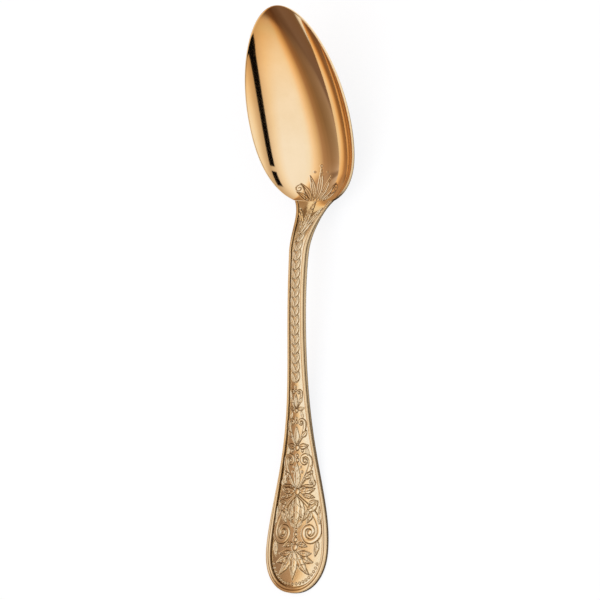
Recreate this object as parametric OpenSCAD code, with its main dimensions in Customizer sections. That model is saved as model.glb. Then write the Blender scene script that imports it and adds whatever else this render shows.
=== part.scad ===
/* [Overall] */
// Length of the spoon in plan, from the end of the handle to the tip of the bowl
overall_l = 205; // [190:1:220]

/* [Bowl] */
// Length of the bowl in plan, from its joint with the handle to its tip
bowl_l = 66; // [60:0.2:74]
// Width of the bowl across its rim
bowl_w = 45; // [40:0.5:50]
// Depth of the bowl below its rim
bowl_depth = 10.5; // [8:0.5:12]
// Thickness of the bowl's wall
bowl_wall = 1.5; // [1.2:0.1:2]
// Distance in plan from the joint to the widest part of the bowl
bowl_widest = 26.6; // [24:0.2:31]
// Slope of the rim, in degrees, while the spoon lies on a table
rim_tilt = 23.5; // [16:0.5:25]

/* [Handle] */
// Greatest width of the handle, near its end
handle_w = 26.8; // [22:0.2:30]
// Length of the rounded end, up to the greatest width
end_l = 15.5; // [12:0.5:20]
// Length over which the handle narrows from its greatest width to the stem
taper_l = 34.5; // [28:0.5:40]
// Width of the stem
stem_w = 6.2; // [5:0.1:8]
// Length over which the stem flares towards the bowl
flare_l = 7; // [5:0.5:9]
// Thickness of the handle at its end
end_t = 2.2; // [2:0.1:3]
// Thickness of the stem
stem_t = 3.5; // [2.8:0.1:4.2]
// Length of the handle's end that lies flat on the table
rest_l = 20; // [14:1:28]
// Height of the handle's face above the table at the top of its arch
arch_h = 13.7; // [11:0.1:16]
// Distance in plan from the top of the arch to the joint
neck_l = 19.5; // [17:0.5:26]
// Amount by which the handle's face stands higher along its middle
crown_h = 0.35; // [0:0.05:0.6]
// Radius of the rounded lower edges
under_r = 1.2; // [0.8:0.1:1.6]

/* [Border and panel] */
// Width of the raised border at the end of the handle
border_end_w = 1.9; // [1.4:0.1:2.6]
// Width of the raised border along the stem
border_stem_w = 0.8; // [0.6:0.05:1.1]
// Height of the border's crest above the face
border_h = 0.25; // [0.1:0.05:0.4]
// Width of the groove between the border and the panel
groove_w = 0.25; // [0.15:0.05:0.4]
// Depth of the seat that holds the border and the panel
seat_d = 0.8; // [0.6:0.05:1]
// Amount by which the panel lies below the face
panel_sink = 0.15; // [0:0.05:0.3]

/* [Joint between bowl and handle] */
// Width of the joint
root_w = 16.4; // [14:0.2:18.6]
// Thickness of the handle at the joint
root_t = 3.2; // [2.8:0.1:4]
// Thickness of the handle's edges at the joint
root_edge_t = 2.8; // [1.8:0.1:3]
// Length of the tongue that runs under the bowl
tongue_l = 15; // [10:0.5:20]
// Distance from the joint's edge to the tongue's edge
tongue_margin = 0.8; // [0.5:0.1:2]
// Thickness of the tongue at its far end
tongue_end_t = 0.5; // [0.4:0.05:0.8]
// Clearance that the solder fills between the pieces
solder_gap = 0.1; // [0.06:0.02:0.2]

/* [Hidden] */

polished_gold = "#d9ad6c";
chased_gold = "#b98d52";

// How full the bowl's outline is behind and before its widest part, and how full its dish is
root_fullness = 0.6;
tip_fullness = 0.13;
dish_fullness = 0.15;
// Powers that shape the handle's rounded end, which 2 would make an ellipse, and its taper
end_power = 2.2;
taper_power = 1.85;
// Share of its thickness that the tongue loses towards its sides
tongue_loss = 0.7;
// Share of the border's width that each of its two slopes takes
border_slope = 0.3;

// Steps of the lofted shapes
root_steps = 14;
tip_steps = 22;
rim_steps = 32;
end_steps = 14;
stem_steps = 40;
tongue_steps = 12;
// Angle short of a quarter turn at which a rounded end is cut off flat
blunt = 1;
// Length of the step between two sections of different shape
step_l = 0.02;

joint_x = overall_l - bowl_l;
arch_x = joint_x - neck_l;
handle_stop = joint_x - solder_gap;
rim_slope = tan(rim_tilt);
tip_l = bowl_l - bowl_widest;
// Length at which the bowl's outline would close behind the joint
joint_reach = 1 - pow(root_w / bowl_w, 2);
root_spread = sqrt(pow(root_fullness, 2) + 4 * (1 - root_fullness) * joint_reach) - root_fullness;
root_l = bowl_widest / sqrt(root_spread / (2 * (1 - root_fullness)));

function smooth(t) = let (c = max(0, min(1, t))) c * c * (3 - 2 * c);
function mix(a, b, t) = a + (b - a) * t;

// Square of the distance from the bowl's middle, as a share of its outline: 1 on the rim
function root_reach(s) = s * s * mix(root_fullness, 1, s * s);
function tip_reach(s) = s * s * (1 + tip_fullness * (1 - s * s));
function bowl_reach(u, y) =
    (u < bowl_widest ? root_reach((bowl_widest - u) / root_l) : tip_reach((u - bowl_widest) / tip_l))
    + pow(2 * y / bowl_w, 2);
function bowl_half(u) = bowl_w / 2 * sqrt(max(0, 1 - bowl_reach(u, 0)));
function bowl_dip(u, y) =
    let (reach = min(1, bowl_reach(u, y)))
    bowl_depth * (1 - reach * mix(1, reach, dish_fullness));

// Thickness of the tongue, and what lies under the bowl's middle, at a distance u from the joint
tongue_root_t = root_t - bowl_wall - solder_gap;
tongue_w = root_w - 2 * tongue_margin;
function tongue_t(u) = mix(tongue_root_t, tongue_end_t, smooth(u / tongue_l));
function under_bowl(u) = u > tongue_l ? 0 : solder_gap + tongue_t(u);

// Height of the rim at the joint, so that the bowl's heel just meets the table
heel_step = 0.25;
rim_z = -min([for (u = [0 : heel_step : bowl_widest])
    u * rim_slope - bowl_dip(u, 0) - bowl_wall - under_bowl(u)]);
function bowl_inside(u, y) = rim_z + u * rim_slope - bowl_dip(u, y);
function bowl_outside(u, y) = bowl_inside(u, y) - bowl_wall;

// Height of the handle's middle line: flat at the end, up to the arch and down into the bowl
joint_z = bowl_inside(0, 0);
slope_step = 0.01;
joint_slope = (bowl_inside(slope_step, 0) - joint_z) / slope_step;
function neck_z(t) =
    arch_h * (1 - smooth(t)) + joint_z * smooth(t) + joint_slope * neck_l * t * t * (t - 1);
function handle_t(x) = x < arch_x
    ? mix(end_t, stem_t, smooth(x / arch_x))
    : mix(stem_t, root_t, smooth((x - arch_x) / neck_l));
function middle_z(x) = x < arch_x
    ? handle_t(x) + (arch_h - stem_t) * smooth((x - rest_l) / (arch_x - rest_l))
    : neck_z((x - arch_x) / neck_l);

// Height of the handle's face: crowned across its end, hollow where it runs into the bowl
joint_cup = bowl_dip(0, 0) + crown_h * pow(root_w / handle_w, 2);
function face_z(x, y) =
    middle_z(x) - crown_h * pow(2 * y / handle_w, 2)
    + joint_cup * smooth((x - arch_x) / neck_l) * pow(2 * y / root_w, 2);

// Half width of the handle at x, drawn in from its edge by a margin
function border_w(x) = mix(border_end_w, border_stem_w, smooth((x - end_l) / taper_l));
function end_half(x, margin) =
    (handle_w / 2 - margin) * pow(1 - pow((end_l - x) / (end_l - margin), end_power), 1 / end_power);
function stem_half(x) =
    stem_w / 2
    + (handle_w - stem_w) / 2 * exp(-pow((x - end_l) / taper_l, taper_power))
    + (root_w - stem_w) / 2 * exp(-(joint_x - x) / flare_l);
function edge_half(x) = x < end_l ? end_half(x, 0) : stem_half(x);
function border_half(x) = x < end_l ? end_half(x, border_end_w) : stem_half(x) - border_w(x);
panel_margin = border_end_w + groove_w;
function panel_half(x) = x < end_l ? end_half(x, panel_margin) : stem_half(x) - border_w(x) - groove_w;

// Places along the handle for the sections of its rounded end and of its stem
function end_places(margin) = [for (i = [0 : end_steps - 1])
    let (a = (90 - blunt) * (1 - i / end_steps))
    end_l - (end_l - margin) * sin(a)];
// The stem's places crowd towards the bowl, where the handle bends most
stem_power = 1.5;
stem_places = [for (i = [0 : stem_steps])
    end_l + (handle_stop - end_l) * (1 - pow(1 - i / stem_steps, stem_power))];

// Solid skin over a row of closed sections with equal numbers of points
module skin(sections) {
    n = len(sections[0]);
    last = len(sections) - 1;
    points = [for (section = sections) each section];
    sides = [for (i = [0 : last - 1], j = [0 : n - 1])
        let (a = i * n + j, b = i * n + (j + 1) % n)
        each [[a, b, b + n], [a, b + n, a + n]]];
    start = [for (j = [n - 1 : -1 : 0]) j];
    finish = [for (j = [0 : n - 1]) last * n + j];
    polyhedron(points, concat([start], sides, [finish]));
}

// Section across x, from a row of points on top and a row below, both given from side to side
function closed_section(top, below) = concat(top, [for (i = [len(below) - 1 : -1 : 0]) below[i]]);

function bowl_section(u) =
    let (half = bowl_half(u), ys = [for (j = [0 : rim_steps]) half * (2 * j / rim_steps - 1)])
    closed_section(
        [for (y = ys) [joint_x + u, y, bowl_inside(u, y)]],
        [for (y = ys) [joint_x + u, y, bowl_outside(u, y)]]);

// Raised shell with an egg-shaped rim, its wide end at the joint
module bowl() {
    root_places = [for (i = [0 : root_steps]) bowl_widest * (1 - cos(90 * i / root_steps))];
    tip_places = [for (i = [1 : tip_steps]) bowl_widest + tip_l * sin((90 - blunt) * i / tip_steps)];
    color(polished_gold) skin([for (u = concat(root_places, tip_places)) bowl_section(u)]);
}

// Height by which the underside of the handle rises from its middle to its edges near the bowl
joint_bow = bowl_dip(0, 0) + root_t - root_edge_t;
function under_bow(x, y) =
    joint_bow * smooth((x - arch_x) / neck_l) * pow(y / edge_half(x), 2);

// Section of the handle's core: the seat on top, flat below with rounded edges
function core_section(x) =
    let (
        edge = edge_half(x),
        panel = x < end_l ? edge * (1 - 2 * panel_margin / handle_w) : panel_half(x),
        seat = [-edge, -panel, -panel / 2, 0, panel / 2, panel, edge],
        low = middle_z(x) - handle_t(x),
        side = face_z(x, edge) - seat_d,
        r = min(under_r, edge / 2),
        rise = (side - low - under_bow(x, edge)) / 2,
        turns = [for (a = [-90, -45, 0]) [-edge + r * (1 + sin(a)), rise * (1 - cos(a))]],
        below = concat(turns, [[0, 0]], [for (i = [2 : -1 : 0]) [-turns[i][0], turns[i][1]]]))
    closed_section(
        [for (y = seat) [x, y, face_z(x, y) - seat_d]],
        [for (p = below) [x, p[0], low + p[1] + under_bow(x, p[0])]]);

// Section of the tongue at a distance u from the joint, following the bowl's outside
function tongue_section(u) =
    let (
        along = min(1, max(0, u / tongue_l)),
        half = tongue_w / 2 * sqrt(1 - along * along * cos(blunt)),
        shares = [-1, -2 / 3, -1 / 3, 0, 1 / 3, 2 / 3, 1])
    closed_section(
        [for (s = shares) [joint_x + u, s * half, bowl_outside(max(0, u), s * half) - solder_gap]],
        [for (s = shares) [joint_x + u, s * half,
            bowl_outside(max(0, u), s * half) - solder_gap - tongue_t(u) * (1 - tongue_loss * s * s)]]);

// Forged stem and grip, with the tongue that is soldered under the bowl
module handle() {
    core_places = concat(end_places(0), stem_places);
    color(polished_gold) skin(concat(
        [for (x = core_places) core_section(x)],
        [tongue_section(step_l - solder_gap)],
        [for (i = [1 : tongue_steps]) tongue_section(tongue_l * sin((90 - blunt) * i / tongue_steps))]));
}

// Section of the border between a point on the handle's edge and one on the border's inner edge
function border_section(outer, inner) =
    let (
        bottom = solder_gap - seat_d,
        shoulder = -border_h / 2,
        crest = [[border_slope, border_h], [1 - border_slope, border_h]],
        shares = concat([[0, bottom], [0, shoulder]], crest, [[1, shoulder], [1, bottom]]))
    [for (s = shares)
        let (x = mix(outer[0], inner[0], s[0]), y = mix(outer[1], inner[1], s[0]))
        [x, y, face_z(x, y) + s[1]]];

// Point on the rounded end's outline, drawn in by a margin, at an angle from the middle of the end
function end_point(angle, margin) =
    let (c = pow(cos(angle), 2 / end_power), s = pow(abs(sin(angle)), 2 / end_power))
    [end_l - (end_l - margin) * c, sign(angle) * (handle_w / 2 - margin) * s];

// Raised thread round the edge of the handle's face, open where it meets the bowl
module thread_border() {
    leg = [for (i = [stem_steps : -1 : 1]) stem_places[i]];
    turn = [for (i = [2 * end_steps : -1 : -2 * end_steps]) 90 * i / (2 * end_steps)];
    color(polished_gold) skin(concat(
        [for (x = leg) border_section([x, edge_half(x)], [x, border_half(x)])],
        [for (a = turn) border_section(end_point(a, 0), end_point(a, border_end_w))],
        [for (i = [1 : stem_steps])
            let (x = stem_places[i])
            border_section([x, -edge_half(x)], [x, -border_half(x)])]));
}

function panel_section(x) =
    let (half = panel_half(x), ys = [for (s = [-1, -0.5, 0, 0.5, 1]) s * half])
    closed_section(
        [for (y = ys) [x, y, face_z(x, y) - panel_sink]],
        [for (y = ys) [x, y, face_z(x, y) - seat_d + solder_gap]]);

// Chased plate that fills the border, from the end of the handle to the bowl
module ornament_panel() {
    color(chased_gold) skin([for (x = concat(end_places(panel_margin), stem_places)) panel_section(x)]);
}

// The origin lies under the middle of the spoon, on the table
module placed() {
    translate([-overall_l / 2, 0, 0]) children();
}

placed() bowl();
placed() handle();
placed() thread_border();
placed() ornament_panel();
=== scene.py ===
import bpy
import numpy as np
from mathutils import Matrix


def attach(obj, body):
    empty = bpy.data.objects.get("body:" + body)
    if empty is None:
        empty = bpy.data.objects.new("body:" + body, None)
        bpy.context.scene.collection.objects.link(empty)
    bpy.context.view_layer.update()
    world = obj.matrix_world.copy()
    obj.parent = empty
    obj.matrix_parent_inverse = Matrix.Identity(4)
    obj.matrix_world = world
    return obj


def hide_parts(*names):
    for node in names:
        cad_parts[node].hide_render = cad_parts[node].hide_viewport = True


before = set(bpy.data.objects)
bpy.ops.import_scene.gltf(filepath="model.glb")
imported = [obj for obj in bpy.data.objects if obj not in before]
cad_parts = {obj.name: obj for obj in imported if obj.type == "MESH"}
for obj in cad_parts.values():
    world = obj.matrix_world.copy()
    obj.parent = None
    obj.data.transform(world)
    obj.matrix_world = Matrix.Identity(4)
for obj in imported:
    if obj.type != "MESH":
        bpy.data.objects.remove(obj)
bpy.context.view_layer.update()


# BOWL
# A shell raised from sheet metal, plated with pale gold and polished like a mirror. Its egg-shaped
# rim is stoned flat with softened corners, and its heel is soldered on the handle's tongue.
MM = 0.001
overall_l, joint_x = 205.0, 139.0
bowl_l, bowl_w, bowl_depth, bowl_wall = 66.0, 45.0, 10.5, 1.5
bowl_widest, root_w, rim_tilt = 26.6, 16.4, 23.5
root_fullness, tip_fullness, dish_fullness = 0.6, 0.13, 0.15
tongue_l, tongue_root_t, tongue_end_t, solder_gap = 15.0, 1.6, 0.5, 0.1
rim_slope = np.tan(np.radians(rim_tilt))
tip_l = bowl_l - bowl_widest
joint_reach = 1 - (root_w / bowl_w) ** 2
root_spread = np.sqrt(root_fullness ** 2 + 4 * (1 - root_fullness) * joint_reach) - root_fullness
root_l = bowl_widest / np.sqrt(root_spread / (2 * (1 - root_fullness)))


def mix(a, b, t):
    """Straight mixture: a where t is 0 and b where t is 1."""
    return a + (b - a) * t


def smooth(t):
    """Soft step: 0 below 0, 1 above 1, and three t squared less two t cubed between them."""
    t = np.clip(t, 0, 1)
    return t * t * (3 - 2 * t)


def bowl_reach(u, y):
    """Squared distance from the bowl's middle as a share of its outline: 1 on the rim. Behind the
    widest place and before it the squared share along the length is filled by its own polynomial."""
    behind = ((bowl_widest - u) / root_l) ** 2
    before = ((u - bowl_widest) / tip_l) ** 2
    along = np.where(u < bowl_widest, behind * mix(root_fullness, 1, behind),
                     before * (1 + tip_fullness * (1 - before)))
    return along + (2 * y / bowl_w) ** 2


def bowl_half(u):
    """Half width of the rim: half the greatest width times the root of what the length leaves."""
    return bowl_w / 2 * np.sqrt(np.maximum(0, 1 - bowl_reach(u, 0.0)))


def bowl_dip(u, y):
    """Depth below the rim: the full depth less a blend of the reach and its square."""
    reach = np.minimum(1, bowl_reach(u, y))
    return bowl_depth * (1 - reach * mix(1, reach, dish_fullness))


def tongue_t(u):
    """Thickness of the handle's tongue at u: a soft step from its root to its end."""
    return mix(tongue_root_t, tongue_end_t, smooth(u / tongue_l))


heel_u = np.arange(0, bowl_widest, 0.25)
heel_z = (heel_u * rim_slope - bowl_dip(heel_u, 0.0) - bowl_wall
          - np.where(heel_u > tongue_l, 0, solder_gap + tongue_t(heel_u)))
rim_z = -heel_z.min()


def bowl_inside(u, y):
    """Height of the hollow: the rim's sloping plane less the depth."""
    return rim_z + u * rim_slope - bowl_dip(u, y)


def grid_faces(index):
    """Quads between the neighbouring rows and columns of an array of point numbers."""
    quads = [index[:-1, :-1], index[:-1, 1:], index[1:, 1:], index[1:, :-1]]
    return np.stack(quads, -1).reshape(-1, 4)


def shell_points(path, spine, levels):
    """Surface carried round a path in plan: each level gives a share of the way from the spine to the
    path, one for each place, and a function of x and y for the height there."""
    rows = []
    for share, height in levels:
        x, y = (mix(spine[i], path[i], share) for i in (0, 1))
        rows.append(np.stack([x, y, height(x, y)], -1))
    return np.stack(rows)


def mirrored(half):
    """Path on both sides: a half path on the left, ending on the middle line, and its mirror image back."""
    x, y = half
    return np.concatenate([x, x[-2::-1]]), np.concatenate([y, -y[-2::-1]])


def shell_index(rows, places):
    """Point numbers of a carried surface whose first and last rows lie on the spine, where each place
    on the right takes the point of its twin on the left."""
    index = np.arange(rows * places).reshape(rows, places)
    half = places // 2
    for row in (0, -1):
        index[row, half + 1:] = index[row, half - 1::-1]
    return index


def build(name, points, faces, flat=(), **attributes):
    """Object from points in millimetres along the spoon, moved so that the origin lies under its middle.
    Faces are turned so that the volume inside them is positive, and loose points are left out. The flat
    faces end a smooth surface with a sharp edge."""
    curved = sum(len(f) for f in faces)
    faces = [*faces, *flat]
    volume = 0.0
    for f in faces:
        for k in range(1, f.shape[1] - 1):
            a, b, c = points[f[:, 0]], points[f[:, k]], points[f[:, k + 1]]
            volume += np.einsum("ij,ij", a, np.cross(b, c))
    if volume < 0:
        faces = [f[:, ::-1] for f in faces]
    used, corners = np.unique(np.concatenate([f.ravel() for f in faces]), return_inverse=True)
    sides = np.concatenate([np.full(len(f), f.shape[1]) for f in faces])
    mesh = bpy.data.meshes.new(name)
    mesh.vertices.add(len(used))
    mesh.vertices.foreach_set("co", ((points[used] - [overall_l / 2, 0, 0]) * MM).ravel())
    mesh.loops.add(len(corners))
    mesh.loops.foreach_set("vertex_index", corners.ravel())
    mesh.polygons.add(len(sides))
    mesh.polygons.foreach_set("loop_start", np.cumsum(sides) - sides)
    mesh.polygons.foreach_set("use_smooth", np.arange(len(sides)) < curved)
    for key, values in attributes.items():
        layer = mesh.attributes.new(key, "FLOAT", "POINT")
        layer.data.foreach_set("value", np.asarray(values)[used])
    mesh.update(calc_edges=True)
    mesh.validate()
    piece = bpy.data.objects.new(name, mesh)
    bpy.context.scene.collection.objects.link(piece)
    return piece


def volute(start, heading, centre, radius, angle, hand, turns):
    """Scroll line: a cubic run from a start and heading to a spiral, whose radius shrinks to a sixth
    over its turns. Angle is where the spiral begins round its centre, and hand the way it turns."""
    a, h = np.radians(angle), np.radians(heading)
    begin = np.array(centre) + radius * np.array([np.cos(a), np.sin(a)])
    far = np.linalg.norm(begin - start)
    out = far * np.array([np.cos(h), np.sin(h)])
    into = far * hand * np.array([-np.sin(a), np.cos(a)])
    t = np.linspace(0, 1, 24)[:-1, None]
    run = mix(np.array(start), begin, smooth(t)) + t * (1 - t) * ((1 - t) * out - t * into)
    s = np.linspace(0, 1, 56)
    turn = a + hand * 2 * np.pi * turns * s
    shrunk = radius * (1 - 0.84 * s ** 0.85)
    spiral = np.array(centre) + np.stack([np.cos(turn), np.sin(turn)], -1) * shrunk[:, None]
    return np.concatenate([run, spiral])


def leaf_line(start, heading, length, bend):
    """Middle line of a leaf: an arc from a start and heading that bends by an angle over its length."""
    s = np.linspace(0, 1, 16)
    turn = np.radians(heading + bend * s)
    steps = np.stack([np.cos(turn), np.sin(turn)], -1) * length / (len(s) - 1)
    return np.array(start) + np.cumsum(steps, 0) - steps[0]


class Chasing:
    """Relief worked into a grid of points: lines cut with a graver, and leaves and pearls left standing.
    Height is in millimetres, cut is 1 on the floor of a line, and ground is 0 on what stands."""

    lip_h, lip_place, lip_sharpness, lip_floor = 0.03, 1.45, 2.6, -0.02
    outline_depth, ring_depth, vein_depth, side_vein_depth = 0.08, 0.04, 0.1, 0.06
    vein_share, side_vein_share, ending = 0.7, 0.5, 9

    def __init__(self, x, y):
        self.x, self.y = x, y
        self.height, self.cut, self.ground = np.zeros(x.shape), np.zeros(x.shape), np.ones(x.shape)

    def near(self, path, margin):
        """Points within a margin of a path, their distance from it and the share of its length there."""
        low, high = path.min(0) - margin, path.max(0) + margin
        box = (self.x > low[0]) & (self.x < high[0]) & (self.y > low[1]) & (self.y < high[1])
        point = np.stack([self.x[box], self.y[box]], -1)[:, None]
        along = np.diff(path, axis=0)
        share = np.clip(((point - path[:-1]) * along).sum(-1) / (along ** 2).sum(-1), 0, 1)
        apart = np.linalg.norm(point - path[:-1] - share[..., None] * along, axis=-1)
        nearest = apart.argmin(-1)[:, None]
        place = (nearest + np.take_along_axis(share, nearest, 1)) / len(along)
        return box, np.take_along_axis(apart, nearest, 1)[:, 0], place[:, 0]

    def groove(self, box, apart, half, depth):
        """Cuts a rounded groove: its depth falls off with the squared share of its half width, and
        the metal it pushes aside stands as a low lip along both edges, a bell curve of that share."""
        share = apart / half
        floor = -depth * (1 - share ** 2)
        lip = self.lip_h * np.exp(-((share - self.lip_place) * self.lip_sharpness) ** 2)
        here = self.height[box]
        pushed = here + lip * (here > self.lip_floor)
        self.height[box] = np.where(share < 1, np.minimum(here, floor), pushed)
        self.cut[box] = np.maximum(self.cut[box], np.clip(1.15 - share ** 2, 0, 1))

    def line(self, path, half, depth):
        """Cuts a line that swells by soft steps from about half its width at its ends."""
        box, apart, place = self.near(path, 3 * half)
        swell = 0.55 + 0.45 * smooth(place * 8) * smooth((1 - place) * 6)
        self.groove(box, apart, half * swell, depth * swell)

    def stand(self, box, share, lift):
        """Leaves a pillow standing where the share of its half width is under 1: a half ellipse across."""
        inside = share < 1
        dome = lift * np.sqrt(np.clip(1 - share ** 2, 0, 1))
        self.height[box] = np.where(inside, dome, self.height[box])
        self.cut[box] = np.where(inside, 0, self.cut[box])
        self.ground[box] = np.where(inside, 0, self.ground[box])

    def band(self, path, half, lift, line):
        """Raised ribbon along a scroll, domed between two cut outlines: it widens from a quarter over
        its first fifth, and narrows by half to its eye."""
        box, apart, place = self.near(path, half + 1)
        wide = half * (1 - 0.5 * place) * (0.25 + 0.75 * smooth(place * 5))
        self.stand(box, apart / wide, lift)
        self.groove(box, np.abs(apart - wide), line, lift + self.outline_depth)

    def leaf(self, path, half, lift, line, lobes=0):
        """Leaf on a middle line: half width by a sine of the share of its length, domed, with a cut
        outline and vein. Lobes notch its edge by a fifth, and a slanting side vein runs to each notch.
        A vein ends where its distance is made to grow steeply."""
        box, apart, place = self.near(path, half + 1)
        wide = half * np.sin(np.pi * place ** 0.8) + 0.02
        if lobes:
            wide = wide * (0.8 + 0.2 * np.abs(np.sin(np.pi * lobes * place)) ** 0.6)
        self.stand(box, apart / wide, lift)
        self.groove(box, np.abs(apart - wide), line, lift + self.outline_depth)
        vein = apart + self.ending * (np.maximum(0, 0.08 - place) + np.maximum(0, place - 0.85))
        self.groove(box, vein, self.vein_share * line, self.vein_depth)
        if lobes:
            pitch = np.linalg.norm(np.diff(path, axis=0), axis=1).sum() / lobes
            slant = lobes * place - 0.5 * apart / half
            side_vein = np.abs(slant - np.round(slant)) * pitch + self.ending * np.maximum(0, apart - wide)
            self.groove(box, side_vein, self.side_vein_share * line, self.side_vein_depth)

    def pearl(self, centre, radius, lift, line):
        """Round pearl: a dome with a cut ring."""
        far = radius + 0.6
        box = (np.abs(self.x - centre[0]) < far) & (np.abs(self.y - centre[1]) < far)
        apart = np.hypot(self.x[box] - centre[0], self.y[box] - centre[1])
        self.stand(box, apart / radius, lift)
        self.groove(box, np.abs(apart - radius), line, lift + self.ring_depth)


# The places on the rim lie close together beside the fan, and the rows beyond it gather at a focus
rim_round, joint_round, round_l = 0.42, 0.05, 7.0
engraved_u, focus_u = 14.0, 50.0
fan_steps, side_steps, tip_steps = 96, 34, 110
bowl_u = np.concatenate([np.linspace(0, engraved_u, fan_steps),
                         np.linspace(engraved_u, bowl_widest, side_steps)[1:],
                         bowl_widest + tip_l * np.sin(np.linspace(0, np.pi / 2, tip_steps))[1:]])
bowl_path = mirrored((bowl_u, bowl_half(bowl_u)))
gathered = (focus_u - engraved_u) / (bowl_l - engraved_u)
spine_u = np.where(bowl_path[0] < engraved_u, bowl_path[0],
                   engraved_u + (bowl_path[0] - engraved_u) * gathered)
bowl_spine = (spine_u, np.zeros(len(spine_u)))
span = np.hypot(bowl_path[0] - bowl_spine[0], bowl_path[1])
soften = mix(joint_round, rim_round, smooth(bowl_path[0] / round_l))
brink = 1 - soften / span


def bowl_outside(u, y):
    """Height of the back: the hollow's height less the wall."""
    return bowl_inside(u, y) - bowl_wall


def rim_corner(edge, side, t):
    """Point of a rounded corner at t: a quadratic curve from the brink of a face to the rim's side."""
    flat, upright = (1 - t) ** 2, t ** 2
    share = 1 - flat * (1 - brink)
    return share, lambda u, y: (flat * edge(*(mix(bowl_spine[i], bowl_path[i], brink) for i in (0, 1)))
                                + (1 - flat) * edge(*bowl_path) + side * upright * soften)


inner_rows, outer_rows, corner_rows = 84, 34, 7
hollow = [(brink * t, bowl_inside) for t in np.linspace(0, 1, inner_rows)]
back = [(brink * t, bowl_outside) for t in np.linspace(1, 0, outer_rows)]
corner_t = np.linspace(0, 1, corner_rows)
levels = (hollow + [rim_corner(bowl_inside, -1, t) for t in corner_t[1:]]
          + [rim_corner(bowl_outside, 1, t) for t in corner_t[:0:-1]] + back)
bowl_points = shell_points(bowl_path, bowl_spine, levels)

# Fan chased where the handle's ornament runs out into the hollow. Leaves: root, heading, length, half
# width, bend
fan_leaves = (((0.4, 1.3), 14, 9.6, 0.8, 14), ((0.3, 2.3), 34, 8.4, 0.75, 16),
              ((0.2, 3.4), 52, 6.2, 0.65, 14))
fan_pearls = (((12.7, 0.0), 0.42), ((10.6, 2.9), 0.32), ((10.6, -2.9), 0.32))
tendril = volute((0.2, 4.4), 40, (4.6, 8.2), 1.5, -45, 1, 1.4)
fan_lift, fan_line, ring_line = 0.1, 0.16, 0.13
tendril_line, tendril_depth = 0.17, 0.16
fan = Chasing(bowl_points[:inner_rows, :, 0], bowl_points[:inner_rows, :, 1])
for side in (1, -1):
    turned = np.array([1, side])
    for start, heading, length, half, bend in fan_leaves:
        fan.leaf(leaf_line(start, heading, length, bend) * turned, half, fan_lift, fan_line)
    fan.line(tendril * turned, tendril_line, tendril_depth)
fan.leaf(leaf_line((0.3, 0.0), 0, 11.6, 0), 0.95, fan_lift, fan_line)
for centre, radius in fan_pearls:
    fan.pearl(centre, radius, fan_lift, ring_line)
bowl_points[:inner_rows, :, 2] += fan.height
bowl_cut = np.zeros(bowl_points.shape[:2])
bowl_cut[:inner_rows] = fan.cut

index = shell_index(*bowl_points.shape[:2])
joint_face = np.concatenate([index[:, 0], index[-2:0:-1, -1]])
bowl = build("bowl_shell", (bowl_points + [joint_x, 0, 0]).reshape(-1, 3),
             [grid_faces(index)], [joint_face[None]], cut=bowl_cut.ravel())


class Value:
    """Number or colour that a node gives. Sums, differences, products and quotients add Math nodes."""

    def __init__(self, tree, socket=None):
        self.tree, self.socket = tree, socket

    def node(self, kind, settings=None, out=0, **inputs):
        """Adds a node, sets what it is told, then its sockets, by name or as _0, _1 by place; a
        ramp's stops come as pairs of place and colour."""
        node = self.tree.nodes.new(kind)
        for key, value in (settings or {}).items():
            if key == "stops":
                for i, (place, colour) in enumerate(value):
                    stop = node.color_ramp.elements[i] if i < 2 else node.color_ramp.elements.new(place)
                    stop.position, stop.color = place, colour
            else:
                setattr(node, key, value)
        for key, value in inputs.items():
            socket = node.inputs[int(key[1:]) if key[0] == "_" else key.replace("__", " ")]
            if isinstance(value, Value):
                self.tree.links.new(value.socket, socket)
            else:
                socket.default_value = value
        return Value(self.tree, node.outputs[out]) if len(node.outputs) else node

    def maths(self, operation, a, b=0.0):
        """Math node of an operation on two numbers."""
        return self.node("ShaderNodeMath", {"operation": operation}, _0=a, _1=b)

    def step(self, low, high):
        """Soft step from 0 at low to 1 at high."""
        return self.node("ShaderNodeMapRange", {"interpolation_type": "SMOOTHSTEP"},
                         Value=self, From__Min=low, From__Max=high)

    def blend(self, a, b):
        """Colour a where this value is 0, and b where it is 1."""
        return self.node("ShaderNodeMix", {"data_type": "RGBA"}, out=2, _0=self, _6=a, _7=b)

    def __add__(self, other):
        return self.maths("ADD", self, other)

    def __sub__(self, other):
        return self.maths("SUBTRACT", self, other)

    def __rsub__(self, other):
        return self.maths("SUBTRACT", other, self)

    def __mul__(self, other):
        return self.maths("MULTIPLY", self, other)

    def __truediv__(self, other):
        return self.maths("DIVIDE", self, other)

    def __abs__(self):
        return self.maths("ABSOLUTE", self)

    __radd__, __rmul__ = __add__, __mul__


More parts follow.
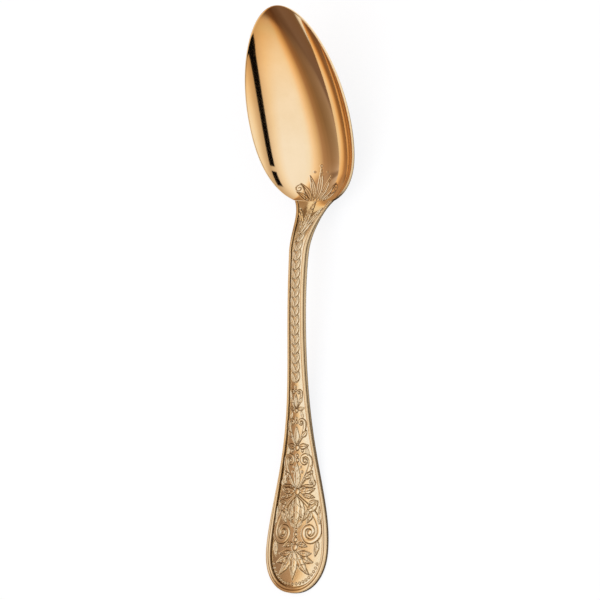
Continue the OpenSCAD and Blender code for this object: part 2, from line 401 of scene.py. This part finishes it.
def gold(name, bright, deep, groove_shade, gloss):
    """Gold plate: a metal whose colour drifts between two golds in soft patches, whose gloss is broken
    by fine lines from the polishing buff, and whose cut lines and seams take a painted shade."""
    material = bpy.data.materials.new(name)
    material.use_nodes = True
    tree = material.node_tree
    tree.nodes.clear()
    paint = Value(tree)
    place = paint.node("ShaderNodeTexCoord", out=3)
    patches = paint.node("ShaderNodeTexNoise", Vector=place, Scale=95.0, Detail=3.0, Roughness=0.55)
    drawn = paint.node("ShaderNodeMapping", Vector=place, Scale=(160.0, 2600.0, 2600.0))
    buff = paint.node("ShaderNodeTexNoise", Vector=drawn, Scale=1.0, Detail=4.0, Roughness=0.6)
    cut = paint.node("ShaderNodeAttribute", {"attribute_name": "cut"}, out=2)
    ground = paint.node("ShaderNodeAttribute", {"attribute_name": "ground"}, out=2)
    pricks = paint.node("ShaderNodeTexVoronoi", Vector=place, Scale=1900.0).step(0.2, 0.55)
    pricks = ground * (1 - pricks)
    colour = patches.step(0.3, 0.7).blend(bright, deep)
    # Painted shade: cut lines, seams and grooves are darkened toward the shade colour, and the pricked
    # ground a little
    dark = cut.step(0.15, 1.0) + 0.12 * pricks
    colour = dark.maths("MINIMUM", dark, 1.0).blend(colour, groove_shade)
    rough = gloss + 0.035 * patches + 0.03 * buff + 0.2 * cut + 0.06 * ground
    bump = paint.node("ShaderNodeBump", Height=0.2 * buff - pricks, Strength=0.12, Distance=0.00005)
    shader = paint.node("ShaderNodeBsdfPrincipled", Base__Color=colour, Roughness=rough, Metallic=1.0,
                        Normal=bump)
    paint.node("ShaderNodeOutputMaterial", Surface=shader)
    return material


# The third colour is painted shade for cut lines, seams and grooves
pale_gold, warm_gold, groove_shade = (0.94, 0.76, 0.52, 1), (0.91, 0.72, 0.47, 1), (0.2, 0.125, 0.06, 1)
bowl.data.materials.append(gold("mirror_gold", pale_gold, warm_gold, groove_shade, 0.02))
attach(bowl, "root")
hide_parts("bowl")


# HANDLE
# Stem and grip forged from one bar, gold-plated and polished. Its end lies flat on the table, its
# middle is arched, and a thin tongue runs on from it under the bowl's heel, where it is soldered.
neck_l, rest_l = 19.5, 20.0
arch_x = joint_x - neck_l
handle_w, end_l, taper_l, stem_w, flare_l = 26.8, 15.5, 34.5, 6.2, 7.0
end_t, stem_t, root_t, root_edge_t = 2.2, 3.5, 3.2, 2.8
arch_h, crown_h, under_r, seat_d = 13.7, 0.35, 1.2, 0.8
end_power, taper_power = 2.2, 1.85
joint_z = bowl_inside(0.0, 0.0)
slope_step = 0.01
joint_slope = (bowl_inside(slope_step, 0.0) - joint_z) / slope_step
joint_cup = bowl_dip(0.0, 0.0) + crown_h * (root_w / handle_w) ** 2
joint_bow = bowl_dip(0.0, 0.0) + root_t - root_edge_t
edge_thinning, thinning_l, run_out_l = 1.1, 10.0, 9.0
tongue_margin, tongue_loss, tongue_start = 0.8, 0.7, 0.02
stem_steps, stem_crowding, end_steps = 300, 1.25, 90
seat_rows, edge_rows, under_rows, tongue_rows, seat_edge_d = 8, 12, 10, 40, 0.05


def neck_share(x):
    """Soft step from the top of the arch to the joint."""
    return smooth((x - arch_x) / neck_l)


def handle_t(x):
    """Thickness: a soft step from the end to the top of the arch, and another to the joint."""
    return np.where(x < arch_x, mix(end_t, stem_t, smooth(x / arch_x)), mix(stem_t, root_t, neck_share(x)))


def middle_z(x):
    """Height of the face's middle line: flat at the end, a soft rise to the arch, and a soft fall to
    the joint that ends with the hollow's own slope."""
    t = (x - arch_x) / neck_l
    rise = handle_t(x) + (arch_h - stem_t) * smooth((x - rest_l) / (arch_x - rest_l))
    fall = mix(arch_h, joint_z, neck_share(x)) + joint_slope * neck_l * t * t * (t - 1)
    return np.where(x < arch_x, rise, fall)


def face_z(x, y):
    """Height of the face: crowned by a parabola across it, and cupped like the hollow at the joint."""
    return (middle_z(x) - crown_h * (2 * y / handle_w) ** 2
            + joint_cup * neck_share(x) * (2 * y / root_w) ** 2)


def stem_half(x):
    """Half width beyond the rounded end: the stem, a bell curve to the end and a flare to the bowl."""
    taper = np.exp(-np.maximum(0, (x - end_l) / taper_l) ** taper_power)
    flare = np.exp(-(joint_x - x) / flare_l)
    return stem_w / 2 + (handle_w - stem_w) / 2 * taper + (root_w - stem_w) / 2 * flare


def run_out(x):
    """1 along the handle, with a soft step to 0 over the last stretch before the bowl."""
    return smooth((joint_x - x) / run_out_l)


def half_outline(stem_x, end_steps, margin, narrowing):
    """Left half of the outline, from the joint to the middle of the rounded end, drawn in by a margin:
    the stem's half width less a narrowing, and then a superellipse by its angle."""
    angle = np.linspace(np.pi / 2, 0, end_steps)[1:]
    cosine, sine = np.abs(np.cos(angle)), np.sin(angle)
    end_x = end_l - (end_l - margin) * cosine ** (2 / end_power)
    end_y = (handle_w / 2 - margin) * sine ** (2 / end_power)
    return np.concatenate([stem_x, end_x]), np.concatenate([stem_half(stem_x) - narrowing(stem_x), end_y])


# The places along the stem crowd toward the joint, and the rows round the end gather at a focus
stem_x = joint_x - (joint_x - end_l) * np.linspace(0, 1, stem_steps) ** stem_crowding
edge_path = mirrored(half_outline(stem_x, end_steps, 0.0, np.zeros_like))
focus_x, fan_x = 9.0, 24.0
spine_x = np.where(edge_path[0] > fan_x, edge_path[0], focus_x + edge_path[0] * (fan_x - focus_x) / fan_x)
handle_spine = (spine_x, np.zeros(len(spine_x)))
edge_span = np.hypot(edge_path[0] - spine_x, edge_path[1])
round_share = 1 - np.minimum(under_r, edge_span / 2) / edge_span


def seat_z(x, y):
    """Height of the seat under the border and the panel: the face less the seat's depth."""
    return face_z(x, y) - seat_d


def under_z(x, y):
    """Height of the underside: the face's middle less the thickness, bowed up to the edges by a
    parabola near the joint, and thinned there to the bowl's wall by a fourth power."""
    share = y / np.where(x > fan_x, stem_half(x), handle_w / 2)
    thinned = edge_thinning * smooth(1 - (joint_x - x) / thinning_l) * share ** 4
    return middle_z(x) - handle_t(x) + joint_bow * neck_share(x) * share ** 2 + thinned


edge_rise = (seat_z(*edge_path) - under_z(*edge_path)) / 2


def lower_edge(angle):
    """Rounded lower edge at an angle: a quarter ellipse from half way up the side to the underside."""
    share = 1 - (1 - round_share) * (1 - np.cos(angle))
    return share, lambda x, y: under_z(x, y) + edge_rise * (1 - np.sin(angle))


seat_shares, under_shares = np.linspace(0, 1, seat_rows), np.linspace(1, 0, under_rows)
levels = ([(np.full(len(spine_x), s), seat_z) for s in seat_shares]
          + [(np.ones(len(spine_x)), lambda x, y: seat_z(x, y) - seat_edge_d)]
          + [lower_edge(a) for a in np.linspace(0, np.pi / 2, edge_rows)]
          + [(round_share * s, under_z) for s in under_shares[1:]])
handle_points = shell_points(edge_path, handle_spine, levels)


def tongue_ring(u):
    """Closed section of the tongue at u, point for point like the handle's: its top follows the bowl's
    back, and its underside swells from thin sides to the middle."""
    round_end = np.sqrt(np.maximum(1e-4, 1 - np.clip(u / tongue_l, 0, 1) ** 2))
    half = (root_w / 2 - tongue_margin) * round_end
    top, below = len(seat_shares), len(levels) - len(seat_shares)
    share = np.concatenate([np.linspace(0, 1, top), np.linspace(1, 0, below)])
    loop = np.concatenate([share, -share[-2:0:-1]])
    is_top = np.arange(len(share)) < top
    is_top = np.concatenate([is_top, is_top[-2:0:-1]])
    y = loop * half
    z = bowl_outside(np.maximum(0, u), y) - solder_gap
    z = z - np.where(is_top, 0, tongue_t(u) * (1 - tongue_loss * loop ** 2))
    return np.stack([np.full(len(y), joint_x + u), y, z], -1)


tongue_u = np.concatenate([[tongue_start], tongue_l * np.sin(np.linspace(0, np.pi / 2, tongue_rows))[1:]])
rings = np.stack([tongue_ring(u) for u in tongue_u])
index = shell_index(*handle_points.shape[:2])
joint_ring = np.concatenate([index[:, 0], index[-2:0:-1, -1]])
ring_numbers = handle_points[..., 0].size + np.arange(rings[..., 0].size).reshape(rings.shape[:2])
ring_index = np.concatenate([joint_ring[None], ring_numbers])
ring_index = np.concatenate([ring_index, ring_index[:, :1]], 1)
# Painted shade darkens the seam between the forging and the border
seam = np.zeros(handle_points.shape[:2])
seam[len(seat_shares) - 1:len(seat_shares) + 1] = run_out(edge_path[0])
handle = build("handle_forging", np.concatenate([handle_points.reshape(-1, 3), rings.reshape(-1, 3)]),
               [grid_faces(index), grid_faces(ring_index)], [ring_index[-1, :-1][None]],
               cut=np.concatenate([seam.ravel(), np.zeros(rings[..., 0].size)]))
handle.data.materials.append(gold("buffed_gold", pale_gold, warm_gold, groove_shade, 0.05))
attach(handle, "root")
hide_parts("handle")


# THREAD BORDER
# A raised double thread, drawn as wire and soldered into the seat round the edge of the handle's
# face. It is broad at the end, slim along the stem, and runs out level where it meets the bowl.
border_end_w, border_stem_w = 1.9, 0.8


def border_w(x):
    """Width of the border: a soft step from the end to the stem."""
    return mix(border_end_w, border_stem_w, smooth((x - end_l) / taper_l))


inner_path = mirrored(half_outline(stem_x, end_steps, border_end_w, border_w))
# Section of the double thread, from the outer side: share of its width, height over the face
thread = np.array([(0.0, -0.8), (0.0, -0.74), (0.0, -0.62), (0.0, -0.3), (0.0, -0.12), (0.03, 0.0),
                   (0.08, 0.1), (0.15, 0.18), (0.24, 0.23), (0.31, 0.25), (0.38, 0.21), (0.44, 0.1),
                   (0.49, -0.04), (0.53, -0.1), (0.57, -0.04), (0.62, 0.1), (0.68, 0.2), (0.76, 0.24),
                   (0.85, 0.21), (0.92, 0.11), (0.97, -0.02), (1.0, -0.16), (1.0, -0.3), (1.0, -0.8)])
valley, valley_w = 0.53, 0.07
share, lift = thread[:, :1], thread[:, 1:]
x, y = (mix(edge_path[i], inner_path[i], share) for i in (0, 1))
# Near the bowl the threads sink level with the face, and only the parts below them keep their height
level = np.where(lift > -0.3, mix(np.minimum(0, lift), lift, run_out(x)), lift)
border_points = np.stack([x, y, face_z(x, y) + level], -1)
index = np.arange(x.size).reshape(x.shape)
closed = np.concatenate([index, index[:1]])
# Painted shade darkens the groove to the panel, the foot of the outer side and the valley
hollows = (lift < -0.1) * (share > 0.6) + (lift < -0.7)
hollows = hollows + np.exp(-((share - valley) / valley_w) ** 2) * run_out(x)
border = build("border_thread", border_points.reshape(-1, 3), [grid_faces(closed)],
               [index[:, 0][None], index[::-1, -1][None]], cut=np.clip(hollows, 0, 1).ravel())
border.data.materials.append(gold("thread_gold", pale_gold, warm_gold, groove_shade, 0.04))
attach(border, "root")
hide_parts("thread_border")


# ORNAMENT PANEL
# A domed plate, gold-plated and soldered inside the border. A chaser has raised paired scrolls, leaves
# and pearls on the broad end and a laurel chain along the stem, and pricked the ground between them.
groove_w, panel_sink, dome_h, dome_fullness = 0.25, 0.12, 0.56, 0.17
panel_margin = border_end_w + groove_w
# Rows of three zones along the panel, with the steps across them halved where the panel is slimmer
end_rows = end_l - (end_l - panel_margin) * np.sin(np.linspace(np.radians(89.4), 0, 110))
zones = ((np.concatenate([end_rows, np.arange(end_l + 0.125, 36, 0.125)]), 180),
         (np.arange(36.1, 62, 0.135), 90),
         (np.linspace(62.1, joint_x, 540), 45))


def panel_half(x):
    """Half width of the panel: the border's inner edge less the groove."""
    far = np.clip((end_l - x) / (end_l - panel_margin), 0, 1)
    end_half = (handle_w / 2 - panel_margin) * (1 - far ** end_power) ** (1 / end_power)
    return np.where(x < end_l, end_half, stem_half(x) - border_w(x) - groove_w)


def panel_plan(x, steps):
    """Plan of the panel: rows across it, each from side to side in even steps."""
    across = np.linspace(-1, 1, steps + 1)
    return np.broadcast_to(x[:, None], (len(x), steps + 1)), panel_half(x)[:, None] * across


def panel_z(x, y):
    """Height of the bare panel: the face less the sink, domed by a parabola whose height grows with the
    width and levels off as a hyperbolic tangent; both run out before the bowl."""
    half = panel_half(x)
    share = np.divide(y, half, out=np.zeros_like(y), where=half > 0)
    dome = dome_h * np.tanh(dome_fullness * half)
    return face_z(x, y) + run_out(x) * (dome * (1 - 2 * share ** 2) - panel_sink)


# Scrolls: start, heading, spiral centre and radius, its first angle, the hand, turns, half width
scrolls = (((34.2, 0.7), 126, (21.6, 5.9), 4.0, 90, 1, 1.3, 1.1),
           ((37.0, 0.6), 38, (46.8, 3.2), 2.35, 90, -1, 1.15, 0.8),
           ((37.4, 1.4), 62, (39.2, 6.0), 1.3, 180, -1, 1.2, 0.5),
           ((52.4, 0.5), 36, (60.0, 2.0), 1.4, 90, -1, 1.0, 0.55),
           ((65.0, 0.35), 34, (70.6, 1.35), 0.95, 90, -1, 0.9, 0.4))
# Leaves on both sides: root, heading, length, half width, bend, lobes
leaves = (((14.4, 1.2), 138, 7.8, 1.45, -40, 3), ((14.6, 0.8), 160, 10.2, 1.5, -30, 4),
          ((18.6, 9.2), 178, 5.6, 0.95, 14, 3), ((29.4, 4.4), 80, 5.6, 1.4, -54, 3),
          ((24.6, 9.6), 4, 6.2, 0.75, -14, 0), ((33.4, 1.0), 158, 8.6, 1.3, 22, 3),
          ((36.0, 1.1), 98, 6.3, 1.35, -34, 3), ((40.8, 3.0), 78, 4.2, 1.1, -50, 3),
          ((48.6, 4.5), -12, 3.4, 0.6, -6, 0), ((51.8, 0.8), 100, 3.9, 0.95, -30, 0),
          ((55.2, 2.0), 66, 3.0, 0.8, -46, 0), ((61.4, 2.5), -8, 3.0, 0.45, -6, 0),
          ((64.8, 0.6), 96, 2.7, 0.65, -30, 0), ((67.0, 1.1), 60, 2.2, 0.5, -44, 0),
          ((126.0, 0.5), 14, 11.0, 1.05, 17, 3), ((130.2, 2.2), 32, 7.4, 0.75, 8, 0),
          ((29.6, 4.9), 190, 4.4, 0.85, 30, 3), ((17.4, 1.0), 92, 4.4, 0.9, 20, 3),
          ((34.6, 2.4), 94, 5.0, 0.85, 8, 3), ((14.6, 1.6), 112, 5.6, 1.0, -30, 0),
          ((23.2, 0.7), 48, 2.8, 0.55, -20, 0), ((28.8, 6.3), 188, 4.4, 0.95, 30, 3),
          ((31.6, 5.0), 62, 3.6, 0.75, 20, 0), ((42.4, 5.5), 160, 4.6, 0.6, 8, 0))
laurel = tuple(((74.0 + 3.3 * i, 0.2), 30, 4.0, 0.72, -20, 0) for i in range(16))
# Leaves on the middle line: root, heading, length, half width, lobes
buds = ((14.8, 180, 10.2, 1.6, 4), (34.4, 180, 11.0, 1.6, 4), (37.4, 0, 8.2, 1.25, 3),
        (52.6, 0, 6.0, 0.95, 0), (65.2, 0, 4.6, 0.7, 0), (126.4, 0, 12.4, 1.2, 4))
# Pearls: place along and across, radius
pearls = ((16.2, 0.0, 1.2), (18.9, 0.0, 0.85), (20.8, 0.0, 0.7), (22.4, 0.0, 0.55), (35.8, 0.0, 1.15),
          (46.9, 0.0, 0.7), (48.5, 0.0, 0.55), (51.2, 0.0, 0.95), (60.2, 0.0, 0.5), (61.5, 0.0, 0.4),
          (64.2, 0.0, 0.7), (71.2, 0.0, 0.45), (72.4, 0.0, 0.4), (21.6, 5.9, 1.0), (46.8, 3.2, 0.62),
          (60.0, 2.0, 0.42), (44.8, 5.9, 0.34), (50.2, 2.2, 0.5), (26.4, 2.0, 0.5), (42.8, 2.0, 0.42),
          (44.5, 1.5, 0.34))
# Beads round the end: a superellipse by its angle, like the outline
bead_margin, bead_r = 3.1, 0.42
bead_turn = np.radians(np.linspace(0, 68, 10))
beads = tuple((end_l - (end_l - bead_margin) * np.cos(a) ** (2 / end_power),
               (handle_w / 2 - bead_margin) * np.sin(a) ** (2 / end_power), bead_r) for a in bead_turn)
line_half, leaf_line_share, pearl_line_share = 0.17, 0.18, 0.3
band_lift, leaf_lift, pearl_lift = 0.34, 0.3, 0.3


def chase(x, y):
    """Works the design into one grid: scrolls, leaves and pearls on both sides of the middle line, each
    over what was raised before it. Each stands as high as its lift times the root of its half width."""
    work = Chasing(x, y)
    for hand in (1, -1):
        for *spiral, half in scrolls:
            work.band(volute(*spiral) * [1, hand], half, band_lift * np.sqrt(half), line_half)
    for hand in (1, -1):
        for root, heading, length, half, bend, lobes in leaves + laurel:
            work.leaf(leaf_line(root, heading, length, bend) * [1, hand], half, leaf_lift * np.sqrt(half),
                      min(line_half, leaf_line_share * half), lobes)
        for x_pearl, y_pearl, radius in pearls + beads:
            work.pearl((x_pearl, hand * y_pearl), radius, pearl_lift * np.sqrt(radius),
                       min(line_half, pearl_line_share * radius))
    for root, heading, length, half, lobes in buds:
        work.leaf(leaf_line((root, 0.0), heading, length, 0), half, leaf_lift * np.sqrt(half), line_half,
                  lobes)
    return work


numbers, tops, cuts, grounds = [], [], [], []
total = 0
for rows, steps in zones:
    x, y = panel_plan(rows, steps)
    work = chase(x, y)
    numbers.append(total + np.arange(x.size).reshape(x.shape))
    total += x.size
    tops.append(np.stack([x, y, panel_z(x, y) + work.height], -1).reshape(-1, 3))
    cuts.append(work.cut.ravel())
    grounds.append((work.ground * run_out(x)).ravel())
x, y = panel_plan(np.concatenate([rows for rows, steps in zones]), 2)
bed = np.stack([x, y, seat_z(x, y)], -1).reshape(-1, 3)
under = total + np.arange(x.size).reshape(x.shape)
# Where the steps halve, three triangles join two fine steps to one coarse step
seams = []
for fine, coarse in zip((n[-1] for n in numbers), (n[0] for n in numbers[1:])):
    first, odd, last = fine[:-1:2], fine[1::2], fine[2::2]
    near, far = coarse[:-1], coarse[1:]
    seams += [np.stack(f, -1) for f in ((near, odd, first), (near, far, odd), (far, last, odd))]
left, right = (np.concatenate([n[:, side] for n in numbers]) for side in (0, -1))
head, foot = numbers[0][0], numbers[-1][-1]
top_faces = [grid_faces(n)[:, ::-1] for n in numbers] + [np.concatenate(seams)]
walls = [grid_faces(under), grid_faces(np.stack([under[:, 0], left])),
         grid_faces(np.stack([right, under[:, -1]])),
         np.concatenate([head, under[0, ::-1]])[None], np.concatenate([foot[::-1], under[-1]])[None]]
panel = build("panel_chased", np.concatenate([*tops, bed]), top_faces, walls,
              cut=np.concatenate([*cuts, np.ones(len(bed))]),
              ground=np.concatenate([*grounds, np.zeros(len(bed))]))
chased_pale, chased_warm = (0.95, 0.82, 0.61, 1), (0.92, 0.78, 0.55, 1)
# Painted shade colour for the panel's cut lines and its hidden bed
chased_groove_shade = (0.25, 0.165, 0.09, 1)
panel.data.materials.append(gold("chased_gold", chased_pale, chased_warm, chased_groove_shade, 0.05))
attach(panel, "root")
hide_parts("ornament_panel")


# STUDIO
# White table under a long overhead softbox, with a black rail along its right edge, a second softbox
# beyond the rail and a brown wall on the left; the polished gold mirrors all of them.
reach, drop = 1.5, -5e-5
floor_mesh = bpy.data.meshes.new("table")
floor_corners = [(-reach, -reach, drop), (reach, -reach, drop), (reach, reach, drop), (-reach, reach, drop)]
floor_mesh.from_pydata(floor_corners, [], [(0, 1, 2, 3)])
floor = bpy.data.objects.new("table", floor_mesh)
bpy.context.scene.collection.objects.link(floor)
white = bpy.data.materials.new("white_table")
white.use_nodes = True
white.node_tree.nodes.clear()
paint = Value(white.node_tree)
seen = paint.node("ShaderNodeLightPath")
place = paint.node("ShaderNodeTexCoord", out=3)
far = paint.node("ShaderNodeVectorMath", {"operation": "LENGTH"}, out=1, Vector=place)
# In the mirror the table is an emission of painted light: a painted contact shadow, dark close under the
# spoon where ambient occlusion is low, and a painted brown far from it; the camera sees it white
open_air = paint.node("ShaderNodeAmbientOcclusion", {"samples": 8}, out=1, Distance=0.022)
painted_contact_shadow = open_air.step(0.65, 0.985).blend((0.05, 0.034, 0.02, 1), (0.99, 0.91, 0.79, 1))
# The mirrored table glows with this painted shadow and painted brown instead of being lit
mirrored_table_glow = paint.node("ShaderNodeEmission", Color=far.step(0.16, 0.34).blend(painted_contact_shadow, (0.2, 0.112, 0.058, 1)))
bright = paint.node("ShaderNodeBsdfPrincipled", Base__Color=(0.3, 0.3, 0.3, 1), Roughness=0.9,
                    Specular__IOR__Level=0.0, Emission__Color=(0.97, 1.0, 1.04, 1), Emission__Strength=0.82)
surface = paint.node("ShaderNodeMixShader", _0=seen, _1=mirrored_table_glow, _2=bright)
paint.node("ShaderNodeOutputMaterial", Surface=surface)
floor_mesh.materials.append(white)

studio = bpy.data.worlds.new("studio")
studio.use_nodes = True
bpy.context.scene.world = studio
studio.node_tree.nodes.clear()
sky = Value(studio.node_tree)
ray = sky.node("ShaderNodeTexCoord")
east, north, up = (sky.node("ShaderNodeSeparateXYZ", out=i, Vector=ray) for i in range(3))
# Place on a flat ceiling that the ray meets, and the ray's share along the line across the rail
ceiling = up.maths("MAXIMUM", up, 0.04)
along, across = east / ceiling, north / ceiling
beside = -0.155 * east + 0.542 * north + 0.826 * up


def ramp(value, *stops):
    """Colour by a value: straight mixtures between stops, each a place and a linear colour."""
    low, high = stops[0][0], stops[-1][0]
    share = (value - low) / (high - low)
    shares = [((p - low) / (high - low), (*c, 1)) for p, c in stops]
    return value.node("ShaderNodeValToRGB", {"stops": shares}, Fac=share)


def tinted(a, b):
    """Product of two colours."""
    return sky.node("ShaderNodeMix", {"data_type": "RGBA", "blend_type": "MULTIPLY"}, out=2,
                    _0=1.0, _6=a, _7=b)


softbox = ramp(along, (-3.15, (0.16, 0.09, 0.055)), (-2.82, (0.7, 0.5, 0.33)), (-2.55, (0.77, 0.62, 0.42)),
               (-2.25, (0.89, 0.7, 0.5)), (-1.7, (1.0, 0.88, 0.75)), (-1.1, (1.0, 0.98, 1.0)),
               (-0.5, (1.0, 1.04, 1.16)), (1.6, (1.0, 1.04, 1.16)), (2.4, (0.34, 0.27, 0.22)))
wall = ramp(along, (-3.6, (0.12, 0.06, 0.033)), (-2.4, (0.22, 0.125, 0.07)), (-1.05, (0.26, 0.16, 0.088)),
            (-0.35, (0.34, 0.212, 0.13)), (0.3, (0.5, 0.36, 0.28)), (1.1, (0.46, 0.34, 0.25)),
            (2.5, (0.44, 0.33, 0.25)))
# The softbox ends on the left along a slanting edge, sharper toward the bowl, and fades into the wall
toward_handle, toward_bowl = (along.maths(limit, along, 0.0) for limit in ("MINIMUM", "MAXIMUM"))
edge = (across - 0.11 + 0.25 * toward_handle) * (1 + 3.5 * toward_bowl) + 0.36
fade = ramp(edge, (0.36, (1, 1, 1)), (0.51, (1.0, 0.975, 0.92)), (0.69, (0.95, 0.77, 0.56)),
            (0.89, (0.68, 0.5, 0.3)), (1.15, (0.26, 0.15, 0.08)), (1.5, (0.06, 0.03, 0.01)),
            (1.85, (0, 0, 0)))
# The wall grows brighter and bluer away from the softbox, and is darker in a corner and in a doorway
wall = tinted(wall, ramp(across, (1.8, (1, 1, 1)), (5.0, (1.7, 2.1, 2.8))))
wall = tinted(wall, ramp(edge, (0.5, (0, 0, 0)), (1.6, (1, 1, 1))))
corner = across.step(1.15, 1.6) * along.step(0.8, 1.6)
wall = tinted(wall, corner.blend((1, 1, 1, 1), (0.52, 0.46, 0.38, 1)))
doorway = across.step(1.1, 1.8) * along.step(-0.08, 0.1) * along.step(0.38, 0.2)
wall = tinted(wall, doorway.blend((1, 1, 1, 1), (0.55, 0.5, 0.45, 1)))
light = sky.node("ShaderNodeMix", {"data_type": "RGBA", "blend_type": "ADD"}, out=2,
                 _0=1.0, _6=tinted(softbox, fade), _7=wall)
# Both softboxes turn golden toward the black rail between them
golden = ramp(beside, (0.06, (1, 1, 1)), (0.13, (1.0, 0.95, 0.85)), (0.17, (0.97, 0.85, 0.67)),
              (0.23, (0.76, 0.6, 0.42)), (0.285, (0.6, 0.45, 0.3)), (0.385, (0.78, 0.64, 0.48)),
              (0.43, (0.88, 0.75, 0.6)), (0.49, (0.97, 0.87, 0.72)), (0.55, (0.99, 0.94, 0.87)),
              (0.62, (1, 1, 1)))
light = tinted(light, golden)
# The rail is a narrow band of rays, wider far toward the handle, with a gap near the middle
rail = abs(beside - 0.335) - 0.014 * along.step(-1.9, -2.3)
rail = rail.step(0.052, 0.042) * along.step(0.72, 0.58) * abs(along - 0.02).step(0.05, 0.09)
light = tinted(rail.blend(light, (0.004, 0.003, 0.003, 1)), (0.989, 0.934, 0.827, 1))
seen = sky.node("ShaderNodeLightPath")
glow = sky.node("ShaderNodeBackground", Color=seen.blend(light, (1, 1, 1, 1)), Strength=1.0)
sky.node("ShaderNodeOutputWorld", Surface=glow)

# CAMERA
# Long lens on the spoon's right, square to its length, turned 38 degrees from above.
roll, pitch = np.radians(38.0), np.radians(6.7)
image_up = np.array([np.cos(pitch), 0, np.sin(pitch)])
normal = np.array([-np.sin(pitch), 0, np.cos(pitch)])
image_right = -np.cos(roll) * np.array([0, 1, 0]) - np.sin(roll) * normal
to_camera = np.cos(roll) * normal - np.sin(roll) * np.array([0, 1, 0])
distance, frame_width = 10.0, 0.2119
aim = 0.00186 * image_up - 0.00593 * image_right + 0.005 * to_camera
lens = bpy.data.cameras.new("camera")
lens.sensor_width = 36.0
lens.lens = 36.0 * distance / frame_width
lens.clip_end = 40.0
camera = bpy.data.objects.new("camera", lens)
turn = np.stack([image_right, image_up, to_camera], -1)
camera.matrix_world = Matrix.Translation(aim + distance * to_camera) @ Matrix(turn.tolist()).to_4x4()
bpy.context.scene.collection.objects.link(camera)
bpy.context.scene.camera = camera
bpy.context.scene.view_settings.view_transform = "Standard"
